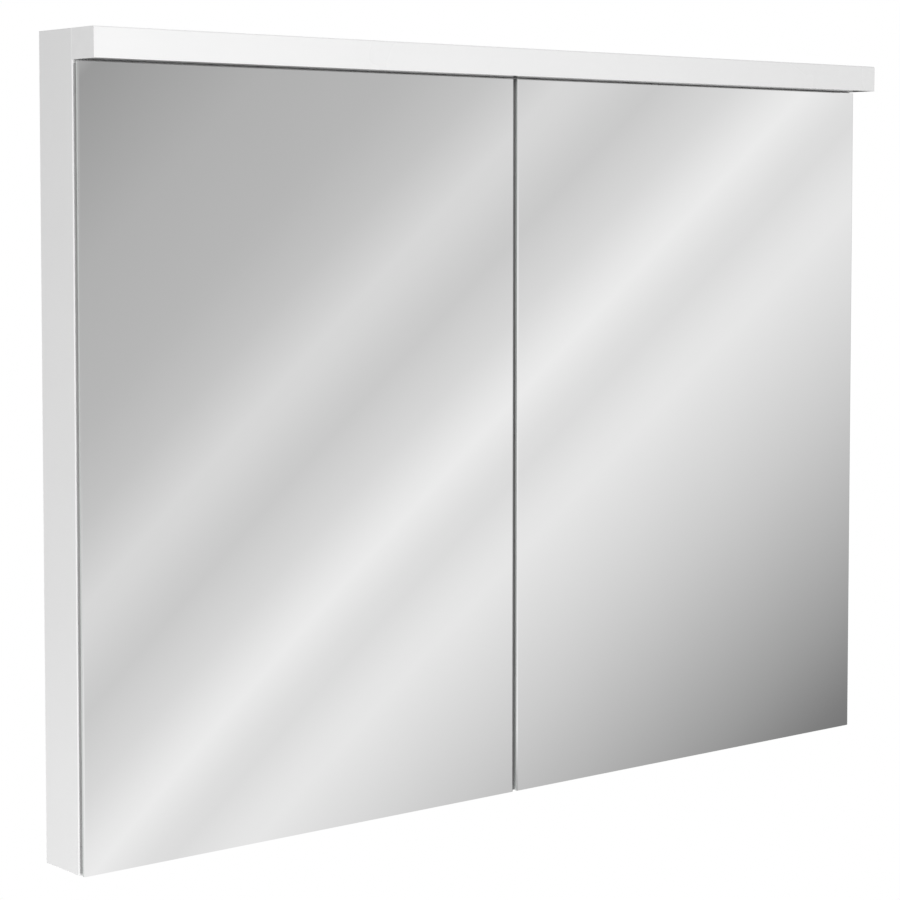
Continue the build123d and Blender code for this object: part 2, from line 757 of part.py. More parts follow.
with BuildPart() as switch_rocker:
    across = (math.cos(tilt), 0, math.sin(tilt))
    with BuildSketch(Plane((switch_x, device_y, rocker_axis), x_dir=across, z_dir=(0, -1, 0))):
        with BuildLine():
            Polyline(
                (-rocker_half, -rocker_end_drop),
                (0, -rocker_dip),
                (rocker_half, -rocker_end_drop),
                (rocker_half, rocker_shoulder),
                (0, rocker_top),
                (-rocker_half, rocker_shoulder),
                close=True,
            )
        make_face()
    extrude(amount=rocker_width / 2, both=True)
    rod(pin_start, (0, 1, 0), rocker_pin_radius + rocker_pin_fit, 2 * body_y, Mode.SUBTRACT)
save(switch_rocker, "switch_rocker")
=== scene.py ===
import math

import bpy
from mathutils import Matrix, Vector


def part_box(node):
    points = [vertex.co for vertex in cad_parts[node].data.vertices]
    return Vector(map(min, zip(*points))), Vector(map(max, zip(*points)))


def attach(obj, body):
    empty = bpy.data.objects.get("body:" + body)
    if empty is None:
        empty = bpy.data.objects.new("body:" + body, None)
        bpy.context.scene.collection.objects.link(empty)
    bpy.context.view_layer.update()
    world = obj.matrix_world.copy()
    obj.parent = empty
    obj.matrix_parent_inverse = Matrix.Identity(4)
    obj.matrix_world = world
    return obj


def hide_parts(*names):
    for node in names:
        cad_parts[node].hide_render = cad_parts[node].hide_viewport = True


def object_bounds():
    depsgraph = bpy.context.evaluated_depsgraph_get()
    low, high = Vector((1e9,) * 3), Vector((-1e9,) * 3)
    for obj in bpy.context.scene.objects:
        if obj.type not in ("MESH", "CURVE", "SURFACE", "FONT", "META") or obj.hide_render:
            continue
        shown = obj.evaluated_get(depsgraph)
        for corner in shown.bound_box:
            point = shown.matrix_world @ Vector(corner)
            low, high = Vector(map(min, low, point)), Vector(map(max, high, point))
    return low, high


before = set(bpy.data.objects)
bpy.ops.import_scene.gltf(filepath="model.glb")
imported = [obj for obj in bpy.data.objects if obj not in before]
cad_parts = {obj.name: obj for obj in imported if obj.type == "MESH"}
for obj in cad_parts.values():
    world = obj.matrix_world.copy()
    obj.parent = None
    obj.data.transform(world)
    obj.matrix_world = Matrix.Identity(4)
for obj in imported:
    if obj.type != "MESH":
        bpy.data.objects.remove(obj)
cad_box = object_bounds()

# Side panels
# Two full height boards of 12 mm fibreboard, sprayed with white satin lacquer on every face.
# Dowels hold them to the boards between them, and the hinges screw into their front edges.

LACQUER_SHADE = (0.79, 0.79, 0.79)
LACQUER_WHITE = (0.85, 0.85, 0.85)
LACQUER_PEEL = 420.0  # ripples of the sprayed film in a metre


def new_effect(name):
    """An empty surface effect: it takes a place and a scale, and gives a tone and a height."""
    effect = bpy.data.node_groups.new(name, "ShaderNodeTree")
    effect.interface.new_socket("Place", in_out="INPUT", socket_type="NodeSocketVector")
    effect.interface.new_socket("Scale", in_out="INPUT", socket_type="NodeSocketFloat")
    effect.interface.new_socket("Tone", in_out="OUTPUT", socket_type="NodeSocketFloat")
    effect.interface.new_socket("Height", in_out="OUTPUT", socket_type="NodeSocketFloat")
    return effect, effect.nodes.new("NodeGroupInput"), effect.nodes.new("NodeGroupOutput")


def grain_noise(effect, source, share, detail, stretch=(1, 1, 1)):
    """A noise pattern whose scale is a share of the effect's own, stretched along an axis."""
    scale = effect.nodes.new("ShaderNodeMath")
    scale.operation = "MULTIPLY"
    scale.inputs[1].default_value = share
    effect.links.new(source.outputs["Scale"], scale.inputs[0])
    placed = effect.nodes.new("ShaderNodeMapping")
    placed.inputs["Scale"].default_value = stretch
    effect.links.new(source.outputs["Place"], placed.inputs["Vector"])
    pattern = effect.nodes.new("ShaderNodeTexNoise")
    pattern.inputs["Detail"].default_value = detail
    effect.links.new(placed.outputs["Vector"], pattern.inputs["Vector"])
    effect.links.new(scale.outputs["Value"], pattern.inputs["Scale"])
    return pattern.outputs["Fac"]


def sprayed_film():
    """Fine ripples of a sprayed coat, with a slow drift in tone."""
    effect, source, result = new_effect("sprayed_film")
    drift = grain_noise(effect, source, share=0.012, detail=3.0)
    ripple = grain_noise(effect, source, share=1.0, detail=2.0)
    effect.links.new(drift, result.inputs["Tone"])
    effect.links.new(ripple, result.inputs["Height"])
    return effect


def finish(name, effect, scale, shade, light, roughness, relief, **constants):
    """A material whose colour, roughness and relief in metres follow a surface effect."""
    material = bpy.data.materials.new(name)
    material.use_nodes = True
    nodes = material.node_tree.nodes
    links = material.node_tree.links
    shader = nodes["Principled BSDF"]
    for socket, value in constants.items():
        shader.inputs[socket.replace("_", " ").title().replace("Ior", "IOR")].default_value = value
    place = nodes.new("ShaderNodeTexCoord")
    surface = nodes.new("ShaderNodeGroup")
    surface.node_tree = effect
    surface.inputs["Scale"].default_value = scale
    links.new(place.outputs["Object"], surface.inputs["Place"])
    colour = nodes.new("ShaderNodeMix")
    colour.data_type = "RGBA"
    colour.inputs["A"].default_value = (*shade, 1)
    colour.inputs["B"].default_value = (*light, 1)
    links.new(surface.outputs["Tone"], colour.inputs["Factor"])
    links.new(colour.outputs["Result"], shader.inputs["Base Color"])
    gloss = nodes.new("ShaderNodeMapRange")
    gloss.inputs["To Min"].default_value = roughness[0]
    gloss.inputs["To Max"].default_value = roughness[1]
    links.new(surface.outputs["Tone"], gloss.inputs["Value"])
    links.new(gloss.outputs["Result"], shader.inputs["Roughness"])
    bump = nodes.new("ShaderNodeBump")
    bump.inputs["Strength"].default_value = 1.0
    bump.inputs["Distance"].default_value = relief
    links.new(surface.outputs["Height"], bump.inputs["Height"])
    links.new(bump.outputs["Normal"], shader.inputs["Normal"])
    return material


def dress(material, *names):
    """Give CAD nodes their finished material."""
    for name in names:
        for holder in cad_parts[name].material_slots:
            holder.material = material


sprayed = sprayed_film()
lacquer = finish(
    "satin_lacquer", sprayed, LACQUER_PEEL, LACQUER_SHADE, LACQUER_WHITE,
    roughness=(0.34, 0.46), relief=0.000012,
)
dress(lacquer, "left_side_panel", "right_side_panel")

# Top, bottom and inner boards
# Fibreboard cut from the same lacquered sheet: the top closes the wiring channel, the bottom
# carries the partition and has a divider under it, and a rail and a cleat hold the cover.

dress(lacquer, "top_panel", "bottom_panel", "centre_partition", "recess_divider")
dress(lacquer, "light_rail", "rear_cleat")

# Back panel
# A 6 mm sheet let into rebates all round, foil faced and smoother than the lacquered boards.
# Four wall screws and the supply cable pass through it.

FOIL_SHADE = (0.74, 0.74, 0.735)
FOIL_WHITE = (0.80, 0.80, 0.795)
FOIL_GRAIN = 900.0

foil = finish(
    "foil_face", sprayed, FOIL_GRAIN, FOIL_SHADE, FOIL_WHITE,
    roughness=(0.42, 0.55), relief=0.000008,
)
dress(foil, "back_panel")

# Carcass dowels
# Fluted beech pegs, 6 mm thick, glued into the ends and faces of the boards that they join.

BEECH_SHADE = (0.42, 0.26, 0.14)
BEECH_LIGHT = (0.62, 0.43, 0.26)
BEECH_FIBRE = 700.0


def long_fibre(name, stretch):
    """Fibres or brush lines drawn out along one axis."""
    effect, source, result = new_effect(name)
    tone = grain_noise(effect, source, share=0.35, detail=4.0, stretch=stretch)
    height = grain_noise(effect, source, share=1.0, detail=3.0, stretch=stretch)
    effect.links.new(tone, result.inputs["Tone"])
    effect.links.new(height, result.inputs["Height"])
    return effect


lines_along_x = long_fibre("lines_along_x", (0.02, 1, 1))
beech = finish(
    "beech_peg", lines_along_x, BEECH_FIBRE, BEECH_SHADE, BEECH_LIGHT,
    roughness=(0.6, 0.75), relief=0.00003,
)
dress(beech, "carcass_dowels")

# Fixing plates and cable grommet
# Pressed zinc plated plates with rounded corners, riveted inside the back panel, take the wall
# screws in a raised boss. A black rubber grommet lines the cable's hole.

PLATE_SIZE = 0.040
PLATE_SHEET = 0.0014
PLATE_HEIGHT = 0.002
PLATE_CORNER = 0.006
BOSS_RADIUS = 0.0085
BOSS_ROUND = 0.0005
WALL_SCREW_HOLE = 0.0035
RIVET_RADIUS = 0.0022
RIVET_FROM_MIDDLE = 0.0132
ZINC_SHADE = (0.42, 0.43, 0.44)
ZINC_LIGHT = (0.62, 0.63, 0.64)
ZINC_MOTTLE = 260.0
RUBBER_SHADE = (0.018, 0.018, 0.018)
RUBBER_LIGHT = (0.035, 0.035, 0.035)
RUBBER_GRAIN = 1400.0


def mottled_plate():
    """Crystals of a plated coat: cells of slightly different tone with soft edges."""
    effect, source, result = new_effect("mottled_plate")
    cells = effect.nodes.new("ShaderNodeTexVoronoi")
    cells.feature = "SMOOTH_F1"
    effect.links.new(source.outputs["Place"], cells.inputs["Vector"])
    effect.links.new(source.outputs["Scale"], cells.inputs["Scale"])
    pitting = grain_noise(effect, source, share=4.0, detail=3.0)
    effect.links.new(cells.outputs["Distance"], result.inputs["Tone"])
    effect.links.new(pitting, result.inputs["Height"])
    return effect


def moulded_skin():
    """The even fine grain of a moulded surface, with faint flow marks."""
    effect, source, result = new_effect("moulded_skin")
    flow = grain_noise(effect, source, share=0.05, detail=3.0)
    grain = grain_noise(effect, source, share=1.0, detail=4.0)
    effect.links.new(flow, result.inputs["Tone"])
    effect.links.new(grain, result.inputs["Height"])
    return effect


mottled = mottled_plate()
moulded = moulded_skin()
zinc = finish(
    "zinc_plate", mottled, ZINC_MOTTLE, ZINC_SHADE, ZINC_LIGHT,
    roughness=(0.28, 0.42), relief=0.00001, metallic=1.0,
)
rubber = finish(
    "black_rubber", moulded, RUBBER_GRAIN, RUBBER_SHADE, RUBBER_LIGHT,
    roughness=(0.6, 0.75), relief=0.00002,
)


def start_piece(name, primitive, stretch=(1, 1, 1), **sizes):
    """Start a piece from one primitive at its size and place, with nothing else selected."""
    bpy.ops.object.select_all(action="DESELECT")
    primitive(**sizes)
    piece = bpy.context.object
    piece.name = name
    piece.scale = stretch
    bpy.ops.object.transform_apply(location=True, rotation=True, scale=True)
    return piece


def box_piece(name, size, middle):
    """Start a piece from a box of a size about its middle."""
    return start_piece(name, bpy.ops.mesh.primitive_cube_add, size, size=1, location=middle)


def round_piece(name, radius, height, middle, turn=(0, 0, 0), sides=32):
    """Start a piece from an upright drum, which can be turned to lie along another axis."""
    add = bpy.ops.mesh.primitive_cylinder_add
    return start_piece(
        name, add, vertices=sides, radius=radius, depth=height, location=middle, rotation=turn
    )


def choose(piece, kind, test):
    """Open a piece for editing, its faces picked by their normal or its edges by their ends."""
    bpy.ops.object.mode_set(mode="EDIT")
    bpy.ops.mesh.select_mode(type=kind)
    bpy.ops.mesh.select_all(action="DESELECT")
    bpy.ops.object.mode_set(mode="OBJECT")
    if kind == "FACE":
        for face in piece.data.polygons:
            face.select = test(face.normal)
    else:
        points = piece.data.vertices
        for edge in piece.data.edges:
            edge.select = test(*[points[index].co for index in edge.vertices])
    bpy.ops.object.mode_set(mode="EDIT")


def round_edges(piece, width, steps, test):
    """Round off the edges of a piece that pass a test of their two ends."""
    choose(piece, "EDGE", test)
    bpy.ops.mesh.bevel(offset=width, segments=steps, affect="EDGES")
    bpy.ops.object.mode_set(mode="OBJECT")


def join_tool(piece, tool, operation):
    """Cut a tool's shape out of a piece or grow it on, and clear the tool away."""
    change = piece.modifiers.new("shaped", "BOOLEAN")
    change.operation = operation
    change.solver = "EXACT"
    change.object = tool
    bpy.context.view_layer.objects.active = piece
    bpy.ops.object.modifier_apply(modifier=change.name)
    bpy.data.objects.remove(tool)


def set_out(piece, places):
    """Stand copies of a piece at places with a turn each, as one object in its final place."""
    copies = [piece]
    for _ in places[1:]:
        bpy.ops.object.select_all(action="DESELECT")
        piece.select_set(True)
        bpy.context.view_layer.objects.active = piece
        bpy.ops.object.duplicate()
        copies.append(bpy.context.object)
    bpy.ops.object.select_all(action="DESELECT")
    for copy, (place, turn) in zip(copies, places):
        copy.location = place
        copy.rotation_euler = turn
        copy.select_set(True)
    bpy.context.view_layer.objects.active = piece
    bpy.ops.object.transform_apply(location=True, rotation=True, scale=True)
    bpy.ops.object.join()


def fit(piece, material, smooth_below=40.0):
    """Dress a modelled piece and shade its rounded edges smooth."""
    piece.data.materials.clear()
    piece.data.materials.append(material)
    bpy.ops.object.select_all(action="DESELECT")
    piece.select_set(True)
    bpy.context.view_layer.objects.active = piece
    bpy.ops.object.shade_smooth_by_angle(angle=math.radians(smooth_below))


UPRIGHT = (0, 0, 0)
FACING_OUT = (math.pi / 2, 0, 0)  # a drum turned to lie along the cabinet's depth

plates = box_piece(
    "riveted_plates", (PLATE_SIZE, PLATE_SHEET, PLATE_SIZE), (0, -PLATE_SHEET / 2, 0)
)
round_edges(plates, PLATE_CORNER, 6, lambda a, b: abs(a.y - b.y) > PLATE_SHEET / 2)
stud_height = PLATE_HEIGHT - PLATE_SHEET / 2  # from inside the sheet, as if pressed out of it
stud_middle = stud_height / 2 - PLATE_HEIGHT
boss = round_piece("boss", BOSS_RADIUS, stud_height, (0, stud_middle, 0), FACING_OUT)
round_edges(boss, BOSS_ROUND, 3, lambda a, b: max(a.y, b.y) < -PLATE_SHEET)
join_tool(plates, boss, "UNION")
for across, up in ((-1, 1), (1, -1)):
    rivet = round_piece(
        "rivet",
        RIVET_RADIUS,
        stud_height,
        (across * RIVET_FROM_MIDDLE, stud_middle, up * RIVET_FROM_MIDDLE),
        FACING_OUT,
    )
    round_edges(rivet, BOSS_ROUND, 3, lambda a, b: max(a.y, b.y) < -PLATE_SHEET)
    join_tool(plates, rivet, "UNION")
drill = round_piece("drill", WALL_SCREW_HOLE, 3 * PLATE_HEIGHT, (0, 0, 0), FACING_OUT)
join_tool(plates, drill, "DIFFERENCE")
low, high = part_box("fixing_plates")
half = PLATE_SIZE / 2
plate_places = [
    ((x, high.y, z), UPRIGHT)
    for x in (low.x + half, high.x - half)
    for z in (low.z + half, high.z - half)
]
set_out(plates, plate_places)
fit(plates, zinc)
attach(plates, "cabinet")
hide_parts("fixing_plates")
dress(rubber, "cable_grommet")

# Glass shelves
# Four shelves of 5 mm clear float glass with ground and polished long edges, lying loose on
# their supports. The glass is colourless through its face and green along its edges.

GLASS_TINT = (0.96, 0.985, 0.975)
GLASS_CLEAR = (0.99, 0.995, 0.99)
GLASS_WIPE = 30.0
GLASS_GREEN = (0.45, 0.86, 0.68)
GLASS_DEPTH = 5.0  # how fast the green builds up along the light's way through the glass

float_glass = finish(
    "shelf_glass", sprayed, GLASS_WIPE, GLASS_TINT, GLASS_CLEAR,
    roughness=(0.0, 0.03), relief=0.0000002, transmission_weight=1.0, ior=1.52,
)
absorption = float_glass.node_tree.nodes.new("ShaderNodeVolumeAbsorption")
absorption.inputs["Color"].default_value = (*GLASS_GREEN, 1)
absorption.inputs["Density"].default_value = GLASS_DEPTH
float_glass.node_tree.links.new(
    absorption.outputs["Volume"],
    float_glass.node_tree.nodes["Material Output"].inputs["Volume"],
)
dress(float_glass, "left_lower_shelf", "left_upper_shelf", "right_lower_shelf", "right_upper_shelf")

# Shelf supports
# Nickel plated pegs with a flat blade, rounded at its nose. They are pushed into rows of holes
# in the boards, so that a shelf can be moved up or down a step.

BLADE_LENGTH = 0.009
BLADE_WIDTH = 0.008
BLADE_THICKNESS = 0.0035
BLADE_NOSE = 0.0034
BLADE_ARRIS = 0.0004
PEG_RADIUS = 0.0024
PEG_DROP = 0.0025  # from the blade's top to the peg's axis
PEG_DEPTH = 0.0065
PEG_GRIP = 0.0013  # how far the peg's root reaches into the blade
PEG_LEAD = 0.0006
SUPPORT_ROWS = (-0.038, -0.020)  # along the cabinet's depth
SUPPORT_LEVELS = (-0.122, 0.100)  # undersides of the shelves
BAY_WALLS = ((-0.488, 0.0), (-0.008, math.pi), (0.008, 0.0), (0.488, math.pi))  # place and turn
NICKEL_SHADE = (0.55, 0.53, 0.49)
NICKEL_LIGHT = (0.70, 0.68, 0.64)
NICKEL_GRAIN = 900.0

nickel = finish(
    "nickel", moulded, NICKEL_GRAIN, NICKEL_SHADE, NICKEL_LIGHT,
    roughness=(0.16, 0.28), relief=0.000004, metallic=1.0,
)
support_middle = (BLADE_LENGTH / 2, 0, -BLADE_THICKNESS / 2)
supports = box_piece(
    "blade_supports", (BLADE_LENGTH, BLADE_WIDTH, BLADE_THICKNESS), support_middle
)
round_edges(supports, BLADE_NOSE, 6, lambda a, b: min(a.x, b.x) > BLADE_LENGTH / 2 and a.y == b.y)
round_edges(supports, BLADE_ARRIS, 2, lambda a, b: max(a.z, b.z) < -BLADE_THICKNESS / 2)
peg_length = PEG_DEPTH + PEG_GRIP
peg = round_piece(
    "peg", PEG_RADIUS, peg_length, (PEG_GRIP - peg_length / 2, 0, -PEG_DROP), (0, math.pi / 2, 0)
)
round_edges(peg, PEG_LEAD, 2, lambda a, b: max(a.x, b.x) < -PEG_DEPTH / 2)
join_tool(supports, peg, "UNION")
support_places = [
    ((wall, row, level), (0, 0, turn))
    for wall, turn in BAY_WALLS
    for row in SUPPORT_ROWS
    for level in SUPPORT_LEVELS
]
set_out(supports, support_places)
fit(supports, nickel)
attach(supports, "cabinet")
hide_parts("shelf_supports")

# Magnetic catches
# A white moulded holder for each door, with a dark ferrite magnet let into its face. Two cross
# head screws hold it down on the bottom panel.

CATCH_LENGTH = 0.036
CATCH_DEPTH = 0.016
CATCH_HEIGHT = 0.012
CATCH_ROUND = 0.0022
CATCH_ARRIS = 0.0004
CATCH_RIM = 0.0025
MAGNET_LENGTH = 0.026
MAGNET_DEPTH = 0.006
CATCH_SCREW_HEAD = 0.0023
CATCH_SCREW_RISE = 0.0011
CATCH_SCREW_SHANK = 0.0012
CATCH_SCREW_LENGTH = 0.018
CATCH_SCREW_SPREAD = 0.0148
CATCH_SCREW_BACK = 0.0105  # from the holder's face
SQUARE = 0.99  # share of a normal along an axis, above which a face lies square to it
HEAD_ROUND = 0.7  # share of a screw head's rise that its rounded rim takes
SHANK_STRAIGHT = 0.8  # share of a screw's length before its point
POINT_TIP = 0.15  # share of the shank's thickness left at the tip
RECESS_SPAN = 1.9  # span of the cross recess over the radius of the head's flat
RECESS_WIDTH = 0.26  # share of the head's radius
PLASTIC_SHADE = (0.82, 0.82, 0.82)
PLASTIC_WHITE = (0.87, 0.87, 0.87)
PLASTIC_GRAIN = 1600.0
FERRITE_SHADE = (0.03, 0.03, 0.032)
FERRITE_LIGHT = (0.07, 0.07, 0.074)
FERRITE_GRAIN = 1200.0

white_plastic = finish(
    "white_plastic", moulded, PLASTIC_GRAIN, PLASTIC_SHADE, PLASTIC_WHITE,
    roughness=(0.32, 0.42), relief=0.00001,
)
ferrite = finish(
    "ferrite", moulded, FERRITE_GRAIN, FERRITE_SHADE, FERRITE_LIGHT,
    roughness=(0.55, 0.7), relief=0.00003,
)


def cross_screw(name, head, rise, shank, length):
    """A pan head screw standing on its head, its seat at the origin, with a cross recess."""
    screw = round_piece(name, head, rise, (0, 0, -rise / 2), sides=24)
    rim = rise * HEAD_ROUND
    round_edges(screw, rim, 4, lambda a, b: max(a.z, b.z) < -rise / 2)
    choose(screw, "FACE", lambda normal: normal.z > SQUARE)
    bpy.ops.mesh.inset(thickness=head - shank)
    straight = length * SHANK_STRAIGHT
    for run in (straight, length - straight):
        bpy.ops.mesh.extrude_region_move(TRANSFORM_OT_translate={"value": (0, 0, run)})
    bpy.ops.transform.resize(value=(POINT_TIP, POINT_TIP, 1), center_override=(0, 0, length))
    bpy.ops.object.mode_set(mode="OBJECT")
    reach = (head - rim) * RECESS_SPAN
    width = head * RECESS_WIDTH
    for arm in ((reach, width, rise), (width, reach, rise)):
        join_tool(screw, box_piece("recess", arm, (0, 0, -rise)), "DIFFERENCE")
    return screw


catches = box_piece(
    "catch_holders",
    (CATCH_LENGTH, CATCH_DEPTH, CATCH_HEIGHT),
    (0, CATCH_DEPTH / 2, CATCH_HEIGHT / 2),
)
round_edges(
    catches,
    CATCH_ROUND,
    5,
    lambda a, b: min(a.y, b.y) > CATCH_DEPTH / 2 and max(a.z, b.z) > CATCH_RIM,
)
choose(catches, "FACE", lambda normal: normal.y < -SQUARE)
bpy.ops.mesh.inset(thickness=CATCH_RIM)
bpy.ops.transform.resize(
    value=(MAGNET_LENGTH / (CATCH_LENGTH - 2 * CATCH_RIM), 1, 1),
    center_override=(0, 0, CATCH_HEIGHT / 2),
)
bpy.ops.mesh.extrude_region_move(TRANSFORM_OT_translate={"value": (0, MAGNET_DEPTH, 0)})
bpy.ops.object.mode_set(mode="OBJECT")


def outside(point):
    """How far a point lies beyond the magnet's pocket, below zero inside it."""
    across = abs(point.x) - MAGNET_LENGTH / 2
    up = abs(point.z - CATCH_HEIGHT / 2) - CATCH_HEIGHT / 2 + CATCH_RIM
    return max(across, up) - CATCH_ARRIS


def outer_front(a, b):
    """True for an edge around a catch's face, outside the magnet's pocket."""
    on_face = max(abs(a.y), abs(b.y)) < CATCH_ARRIS
    return on_face and min(outside(a), outside(b)) > 0


round_edges(catches, CATCH_ARRIS, 2, outer_front)
catch_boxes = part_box("catch_bodies")
catch_middle = catch_boxes[1].x - CATCH_LENGTH / 2
catch_front = catch_boxes[0].y
catch_floor = catch_boxes[0].z
catch_places = [((hand * catch_middle, catch_front, catch_floor), UPRIGHT) for hand in (-1, 1)]
set_out(catches, catch_places)
fit(catches, white_plastic)
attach(catches, "cabinet")
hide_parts("catch_bodies")
dress(ferrite, "catch_magnets")

HEAD_UP = (math.pi, 0, 0)
catch_screws = cross_screw(
    "catch_screws", CATCH_SCREW_HEAD, CATCH_SCREW_RISE, CATCH_SCREW_SHANK, CATCH_SCREW_LENGTH
)
catch_screw_places = []
for hand in (-1, 1):
    for end in (-1, 1):
        x = hand * catch_middle + end * CATCH_SCREW_SPREAD
        place = (x, catch_front + CATCH_SCREW_BACK, catch_floor + CATCH_HEIGHT)
        catch_screw_places.append((place, HEAD_UP))
set_out(catch_screws, catch_screw_places)
fit(catch_screws, zinc)
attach(catch_screws, "cabinet")

# Continuous hinges
# Rolled steel leaves with a knuckle each 24 mm and a pin through all of them, brushed along
# their length. One leaf is screwed to the carcass, and the other is bonded to the door.

HINGE_SCREW_HEAD = 0.0019
HINGE_SCREW_RISE = 0.0007
HINGE_SCREW_SHANK = 0.001
HINGE_SCREW_LENGTH = 0.0126
HINGE_SCREW_COUNT = 7
STEEL_SHADE = (0.44, 0.44, 0.44)
STEEL_LIGHT = (0.60, 0.60, 0.60)
STEEL_LINES = 2200.0

lines_along_z = long_fibre("lines_along_z", (1, 1, 0.02))
hinge_steel = finish(
    "hinge_steel", lines_along_z, STEEL_LINES, STEEL_SHADE, STEEL_LIGHT,
    roughness=(0.24, 0.38), relief=0.000006, metallic=1.0,
)
for side in ("left", "right"):
    dress(hinge_steel, f"{side}_hinge_frame_leaf", f"{side}_hinge_door_leaf", f"{side}_hinge_pin")

HEAD_FORWARD = (-math.pi / 2, 0, 0)
hinge_screws = cross_screw(
    "leaf_screws", HINGE_SCREW_HEAD, HINGE_SCREW_RISE, HINGE_SCREW_SHANK, HINGE_SCREW_LENGTH
)
low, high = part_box("hinge_screws")
first = low.z + HINGE_SCREW_HEAD
step = (high.z - low.z - 2 * HINGE_SCREW_HEAD) / (HINGE_SCREW_COUNT - 1)
hinge_screw_places = [
    ((x, low.y + HINGE_SCREW_RISE, first + step * index), HEAD_FORWARD)
    for x in (low.x + HINGE_SCREW_HEAD, high.x - HINGE_SCREW_HEAD)
    for index in range(HINGE_SCREW_COUNT)
]
set_out(hinge_screws, hinge_screw_places)
fit(hinge_screws, zinc)
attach(hinge_screws, "cabinet")
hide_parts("hinge_screws")

# Mirror doors
# Each door is two thin mirrors bonded back to back, silver inwards. The outer pane's upright
# front edges carry a narrow polished facet, and the cut edges are pale ground glass.

SILVER_SHADE = (0.915, 0.915, 0.915)
SILVER_LIGHT = (0.93, 0.93, 0.93)
MIRROR_WIPE = 14.0
MIRROR_GLOSS = (0.012, 0.03)
CUT_EDGE = (0.62, 0.64, 0.63)
CUT_EDGE_GLOSS = 0.16
FACE_LIMIT = 0.6  # share of a face's normal along the door's depth, above which it is silvered


def wiped_face():
    """A cleaned pane: faint broad smears, and next to no relief."""
    effect, source, result = new_effect("wiped_face")
    smears = grain_noise(effect, source, share=1.0, detail=5.0, stretch=(1, 1, 0.4))
    waves = grain_noise(effect, source, share=0.4, detail=1.0)
    effect.links.new(smears, result.inputs["Tone"])
    effect.links.new(waves, result.inputs["Height"])
    return effect


def silvered(name):
    """Mirror on the pane's faces, and pale ground glass on its cut edges."""
    material = finish(
        name, wiped, MIRROR_WIPE, SILVER_SHADE, SILVER_LIGHT, roughness=MIRROR_GLOSS, relief=0.0
    )
    nodes = material.node_tree.nodes
    links = material.node_tree.links
    shader = nodes["Principled BSDF"]
    place = nodes.new("ShaderNodeTexCoord")
    parts = nodes.new("ShaderNodeSeparateXYZ")
    links.new(place.outputs["Normal"], parts.inputs["Vector"])
    depth = nodes.new("ShaderNodeMath")
    depth.operation = "ABSOLUTE"
    links.new(parts.outputs["Y"], depth.inputs[0])
    face = nodes.new("ShaderNodeMath")
    face.operation = "GREATER_THAN"
    face.inputs[1].default_value = FACE_LIMIT
    links.new(depth.outputs["Value"], face.inputs[0])
    links.new(face.outputs["Value"], shader.inputs["Metallic"])
    silver = shader.inputs["Base Color"].links[0].from_socket
    gloss = shader.inputs["Roughness"].links[0].from_socket
    colour = nodes.new("ShaderNodeMix")
    colour.data_type = "RGBA"
    colour.inputs["A"].default_value = (*CUT_EDGE, 1)
    links.new(face.outputs["Value"], colour.inputs["Factor"])
    links.new(silver, colour.inputs["B"])
    links.new(colour.outputs["Result"], shader.inputs["Base Color"])
    roughness = nodes.new("ShaderNodeMix")
    roughness.inputs["A"].default_value = CUT_EDGE_GLOSS
    links.new(face.outputs["Value"], roughness.inputs["Factor"])
    links.new(gloss, roughness.inputs["B"])
    links.new(roughness.outputs["Result"], shader.inputs["Roughness"])
    return material


wiped = wiped_face()
front_silver = silvered("mirror_front")
rear_silver = silvered("mirror_rear")
for side in ("left", "right"):
    dress(front_silver, f"{side}_front_mirror")
    dress(rear_silver, f"{side}_rear_mirror")

# Strike plates and door buffers
# A thin zinc plated plate with a shallow pressed dish, bonded to each door, meets its catch. Two
# domed buffers of clear silicone stop the door softly.

STRIKE_CORNER = 0.0024
STRIKE_ARRIS = 0.0002
STRIKE_RIM = 0.0012
STRIKE_SLOPE = 0.0004
STRIKE_DISH = 0.0002
DISH_SHADING = 20.0  # degrees below which its edges are shaded smooth
BUFFER_RADIUS = 0.0024
BUFFER_DOME = 0.0015
BUFFER_SHADE = (0.78, 0.80, 0.80)
BUFFER_CLEAR = (0.90, 0.91, 0.91)
BUFFER_GRAIN = 500.0

soft_clear = finish(
    "clear_buffer", moulded, BUFFER_GRAIN, BUFFER_SHADE, BUFFER_CLEAR,
    roughness=(0.10, 0.22), relief=0.000004, transmission_weight=0.7, ior=1.46,
)
for side in ("left", "right"):
    low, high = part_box(f"{side}_strike_plate")
    middle = (low + high) / 2
    strike = box_piece(f"{side}_pressed_strike", high - low, middle)
    round_edges(strike, STRIKE_CORNER, 5, lambda a, b: abs(a.y - b.y) > STRIKE_ARRIS)
    round_edges(strike, STRIKE_ARRIS, 2, lambda a, b: min(a.y, b.y) > middle.y)
    choose(strike, "FACE", lambda normal: normal.y > SQUARE)
    bpy.ops.mesh.inset(thickness=STRIKE_RIM)
    bpy.ops.mesh.inset(thickness=STRIKE_SLOPE)
    bpy.ops.transform.translate(value=(0, -STRIKE_DISH, 0))
    bpy.ops.object.mode_set(mode="OBJECT")
    fit(strike, zinc, DISH_SHADING)
    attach(strike, f"{side}_door")
    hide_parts(f"{side}_strike_plate")

    low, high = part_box(f"{side}_door_buffers")
    height = high.y - low.y
    buffers = round_piece(
        f"{side}_domed_buffers", BUFFER_RADIUS, height, (0, height / 2, 0), FACING_OUT
    )
    round_edges(buffers, BUFFER_DOME, 6, lambda a, b: min(a.y, b.y) > height / 2)
    x = (low.x + high.x) / 2
    levels = (low.z + BUFFER_RADIUS, high.z - BUFFER_RADIUS)
    set_out(buffers, [((x, low.y, level), UPRIGHT) for level in levels])
    fit(buffers, soft_clear)
    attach(buffers, f"{side}_door")
    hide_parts(f"{side}_door_buffers")

# Centre seal
# A thin strip of grey closed cell foam on the partition's front edge. It keeps dust out at the
# gap where the doors meet, and takes their buffers.

